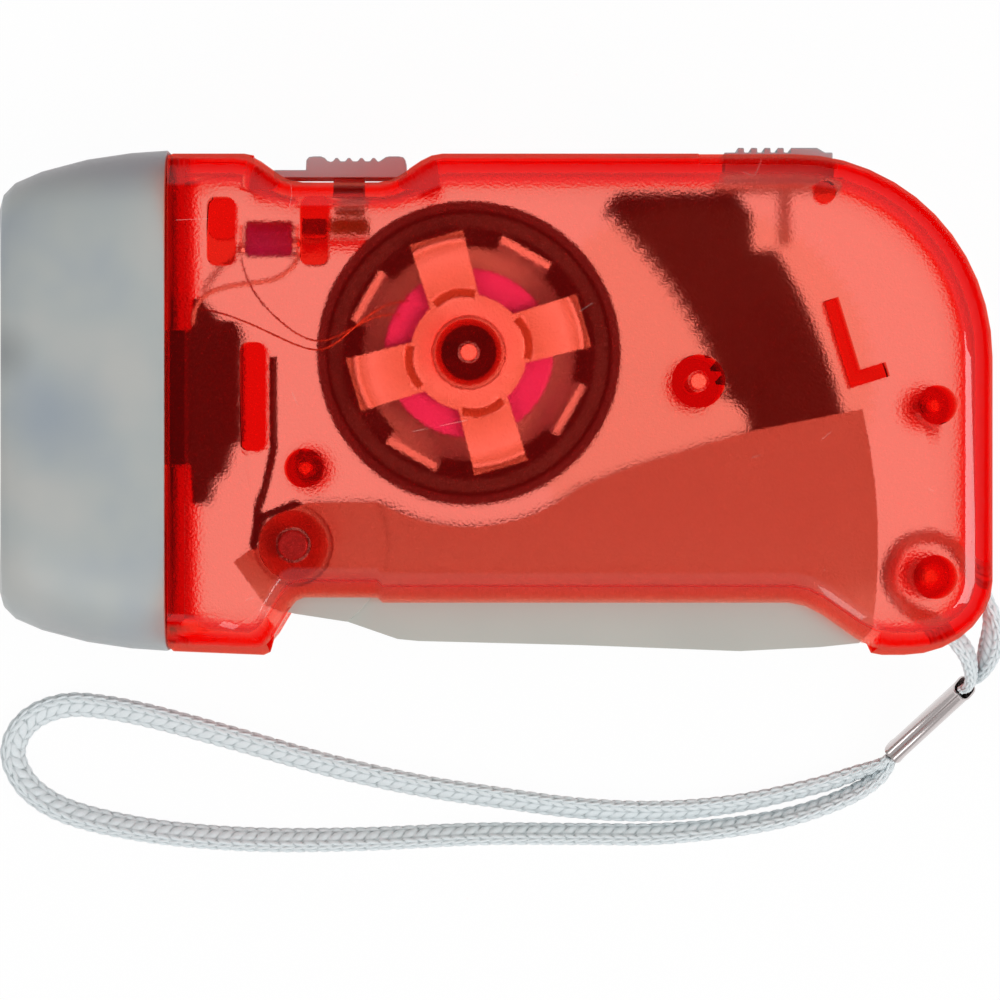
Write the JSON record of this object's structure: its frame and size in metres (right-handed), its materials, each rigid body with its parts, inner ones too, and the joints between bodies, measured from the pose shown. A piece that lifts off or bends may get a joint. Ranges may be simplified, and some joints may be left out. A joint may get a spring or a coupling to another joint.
{
  "type": "hand-squeeze dynamo flashlight",
  "caption": "Hand torch in a clear shell, with a squeeze lever that drives a geared flywheel generator, a slide switch, a lever lock and a wrist strap.",
  "frame": {"origin": "under the middle of the torch without its strap, on the flat side of the right shell", "axes": "+X from the lamp head to the strap end, +Y from the lever to the switch side, +Z from the right shell up to the left shell"},
  "size_m": [0.1084, 0.076, 0.036],
  "materials": {
    "red_clear_plastic": "clear red, polished outside",
    "grey_plastic": "satin",
    "mauve_grey_plastic": "satin",
    "clear_plastic": "polished",
    "chromed_plastic": "bright metallised",
    "black_plastic": "satin",
    "white_plastic": "satin",
    "steel": "plated",
    "spring_steel": "oiled",
    "brass": "bright",
    "ferrite": "matt",
    "coil_tape": "satin tape",
    "purple_sleeve": "shrink sleeve",
    "board_green": "lacquered",
    "wire_cover": "satin",
    "braid": "woven"
  },
  "bodies": {
    "housing": {"left_shell": "red_clear_plastic", "right_shell": "red_clear_plastic", "head_bezel": "grey_plastic", "lens": "clear_plastic", "reflector": "chromed_plastic", "led_1": "clear_plastic", "led_2": "clear_plastic", "led_3": "clear_plastic", "led_board": "board_green", "rectifier": "black_plastic", "lamp_holder": "black_plastic", "cell_stack": "purple_sleeve", "cell_tab_front": "steel", "cell_tab_rear": "steel", "pivot_pin": "steel", "gear_axle": "steel", "stator_yoke_lower": "steel", "coil_bobbin": "white_plastic", "coil": "coil_tape", "stator_yoke_upper": "steel", "generator_axle": "steel", "return_spring": "spring_steel", "contact_plate_front": "brass", "contact_plate_rear": "brass", "front_screw": "steel", "rear_screw": "steel", "strap_screw": "steel", "first_coil_lead": "wire_cover", "second_coil_lead": "wire_cover", "cell_wire": "wire_cover", "switch_wire": "wire_cover", "strap_ferrule": "steel", "strap_loop": "braid", "strap_neck": "braid"},
    "lever": {"lever": "grey_plastic", "sector_gear": "black_plastic", "sector_screw_1": "steel", "sector_screw_2": "steel"},
    "drive_gear": {"drive_gear": "white_plastic"},
    "rotor": {"flywheel": "black_plastic", "ring_magnet": "ferrite", "flywheel_pinion": "white_plastic"},
    "switch": {"switch_knob": "mauve_grey_plastic", "switch_contact": "brass"},
    "lock": {"lock_slider": "mauve_grey_plastic"}
  },
  "joints": [
    {"name": "lever_swing", "type": "hinge", "parent": "housing", "child": "lever", "pos_m": [-0.02158, -0.01526, 0.018], "axis": [0, 0, -1], "range_deg": [0, 20], "deforming": ["return_spring"]},
    {"name": "drive_gear_spin", "type": "hinge", "parent": "housing", "child": "drive_gear", "pos_m": [0.0213, 0.00206, 0.012], "axis": [0, 0, -1], "continuous": true},
    {"name": "flywheel_spin", "type": "hinge", "parent": "housing", "child": "rotor", "pos_m": [-0.003, 0.00513, 0.02], "axis": [0, 0, -1], "continuous": true},
    {"name": "switch_slide", "type": "slide", "parent": "housing", "child": "switch", "axis": [-1, 0, 0], "range_m": [0, 0.002]},
    {"name": "lock_slide", "type": "slide", "parent": "housing", "child": "lock", "axis": [-1, 0, 0], "range_m": [0, 0.0024]}
  ],
  "couplings": [
    {"joint": "drive_gear_spin", "follows": "lever_swing", "ratio": 17.818},
    {"joint": "flywheel_spin", "follows": "lever_swing", "ratio": -69.491}
  ]
}
